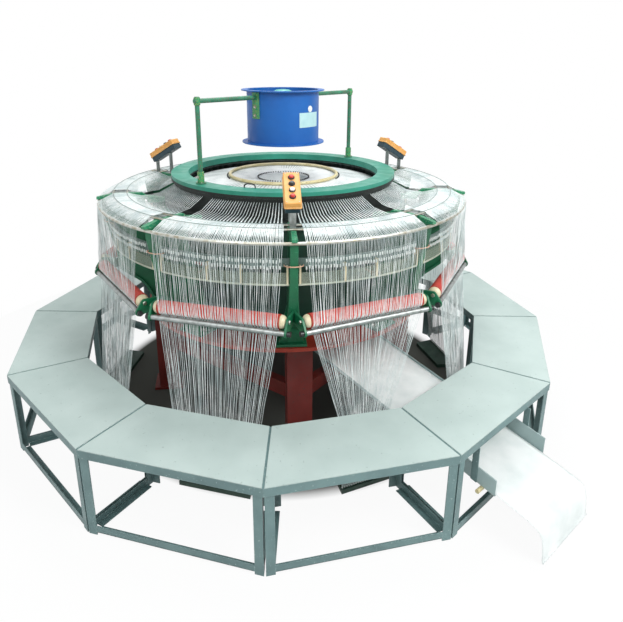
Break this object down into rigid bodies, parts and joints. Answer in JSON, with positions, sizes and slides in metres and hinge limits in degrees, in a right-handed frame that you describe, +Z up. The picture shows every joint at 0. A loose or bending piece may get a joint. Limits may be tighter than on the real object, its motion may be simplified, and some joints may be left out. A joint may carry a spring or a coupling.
{
  "type": "circular loom",
  "caption": "Circular loom for tubular cloth with red feed rollers round a cam drum, a shuttle race, a fan above and a ring of walkway tables",
  "frame": {"origin": "on the machine's vertical axis, at floor level", "axes": "+Z up along the machine's axis; -Y towards the front, where the picture was taken from"},
  "size_m": [3.1952, 3.1952, 1.822],
  "materials": {
    "walkway_sheet": "matte",
    "walkway_frame": "satin",
    "base_red": "satin",
    "rim_red": "satin",
    "housing_green": "satin",
    "column_green": "satin",
    "arm_green": "satin",
    "ring_steel": "polished",
    "bright_steel": "brushed",
    "knob_black": "gloss",
    "warp_white": "woven",
    "rail_grey": "satin",
    "band_clear": "translucent",
    "clip_cream": "satin",
    "guide_green": "satin",
    "race_green": "satin",
    "ring_green": "satin",
    "reed_steel": "brushed",
    "cloth_white": "woven",
    "chute_steel": "satin",
    "bar_cream": "satin",
    "fan_blue": "gloss",
    "motor_teal": "satin",
    "impeller_grey": "satin",
    "label_plate": "satin",
    "post_steel": "brushed",
    "clamp_green": "satin",
    "box_orange": "gloss",
    "box_slate": "satin",
    "button_red": "gloss",
    "roller_red": "matte"
  },
  "bodies": {
    "root": {"walkway_tops": "walkway_sheet", "walkway_legs": "walkway_frame", "walkway_rails": "walkway_frame", "base_frame": "base_red", "base_top": "rim_red", "cam_housing": "housing_green", "columns": "column_green", "arms": "arm_green", "warp_rings": "ring_steel", "guide_rods": "bright_steel", "rod_knobs": "knob_black", "warp_top": "warp_white", "warp_upper": "warp_white", "warp_lower": "warp_white", "eye_rail": "rail_grey", "stop_band": "band_clear", "band_clips": "clip_cream", "floor_guides": "guide_green", "shuttle_race": "race_green", "green_ring": "ring_green", "reed_ring": "reed_steel", "cloth_tube": "cloth_white", "weaving_ring": "bar_cream", "cloth_strip": "cloth_white", "cloth_chute": "chute_steel", "chute_bar": "bar_cream", "chute_hangers": "chute_steel", "fan_casing": "fan_blue", "fan_motor": "motor_teal", "fan_label": "label_plate", "fan_posts": "post_steel", "fan_clamps": "clamp_green", "box_covers": "box_orange", "box_bases": "box_slate", "box_posts": "bright_steel", "push_buttons": "button_red"},
    "feed_roller_1": {"feed_roller_1": "roller_red"},
    "feed_roller_2": {"feed_roller_2": "roller_red"},
    "feed_roller_3": {"feed_roller_3": "roller_red"},
    "feed_roller_4": {"feed_roller_4": "roller_red"},
    "feed_roller_5": {"feed_roller_5": "roller_red"},
    "feed_roller_6": {"feed_roller_6": "roller_red"},
    "feed_roller_7": {"feed_roller_7": "roller_red"},
    "feed_roller_8": {"feed_roller_8": "roller_red"},
    "feed_roller_9": {"feed_roller_9": "roller_red"},
    "fan_impeller": {"fan_impeller": "impeller_grey"}
  },
  "joints": [
    {"name": "feed_roller_1_spin", "type": "hinge", "parent": "root", "child": "feed_roller_1", "pos_m": [0.38498, -0.92942, 0.877], "axis": [0.9239, 0.3827, 0], "continuous": true},
    {"name": "feed_roller_2_spin", "type": "hinge", "parent": "root", "child": "feed_roller_2", "pos_m": [0.89233, -0.46452, 0.877], "axis": [0.4617, 0.887, 0], "continuous": true},
    {"name": "feed_roller_3_spin", "type": "hinge", "parent": "root", "child": "feed_roller_3", "pos_m": [0.98215, 0.21774, 0.877], "axis": [-0.2164, 0.9763, 0], "continuous": true},
    {"name": "feed_roller_4_spin", "type": "hinge", "parent": "root", "child": "feed_roller_4", "pos_m": [0.61241, 0.79811, 0.877], "axis": [-0.7934, 0.6088, 0], "continuous": true},
    {"name": "feed_roller_5_spin", "type": "hinge", "parent": "root", "child": "feed_roller_5", "pos_m": [-0.04388, 1.00504, 0.877], "axis": [-0.999, -0.0436, 0], "continuous": true},
    {"name": "feed_roller_6_spin", "type": "hinge", "parent": "root", "child": "feed_roller_6", "pos_m": [-0.67964, 0.7417, 0.877], "axis": [-0.7373, -0.6756, 0], "continuous": true},
    {"name": "feed_roller_7_spin", "type": "hinge", "parent": "root", "child": "feed_roller_7", "pos_m": [-0.99739, 0.13131, 0.877], "axis": [-0.1305, -0.9914, 0], "continuous": true},
    {"name": "feed_roller_8_spin", "type": "hinge", "parent": "root", "child": "feed_roller_8", "pos_m": [-0.84845, -0.54052, 0.877], "axis": [0.5373, -0.8434, 0], "continuous": true},
    {"name": "feed_roller_9_spin", "type": "hinge", "parent": "root", "child": "feed_roller_9", "pos_m": [-0.30251, -0.95944, 0.877], "axis": [0.9537, -0.3007, 0], "continuous": true},
    {"name": "fan_spin", "type": "hinge", "parent": "root", "child": "fan_impeller", "pos_m": [0, 0, 1.59], "axis": [0, 0, 1], "continuous": true}
  ]
}
